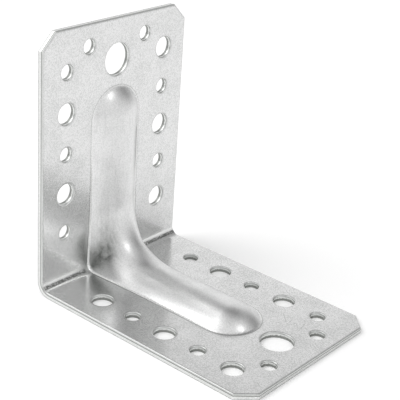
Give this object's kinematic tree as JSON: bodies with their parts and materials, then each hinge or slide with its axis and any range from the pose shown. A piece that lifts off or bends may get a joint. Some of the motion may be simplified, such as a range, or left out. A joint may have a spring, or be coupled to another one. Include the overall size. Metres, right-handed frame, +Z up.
{
  "type": "reinforced angle bracket",
  "caption": "Right-angle bracket pressed from one galvanised steel sheet, with nail and bolt holes and a deep rib across the fold to stiffen it.",
  "frame": {"origin": "the heel: where the planes of the two outer faces meet, in the middle of the width", "axes": "+X along the lying leg away from the heel, +Z up the standing leg, +Y across the width"},
  "size_m": [0.09, 0.065, 0.09],
  "materials": {
    "galvanised_steel": "hot-dip galvanised sheet, fine grain, half gloss"
  },
  "bodies": {
    "root": {"angle_bracket": "galvanised_steel"}
  },
  "joints": []
}
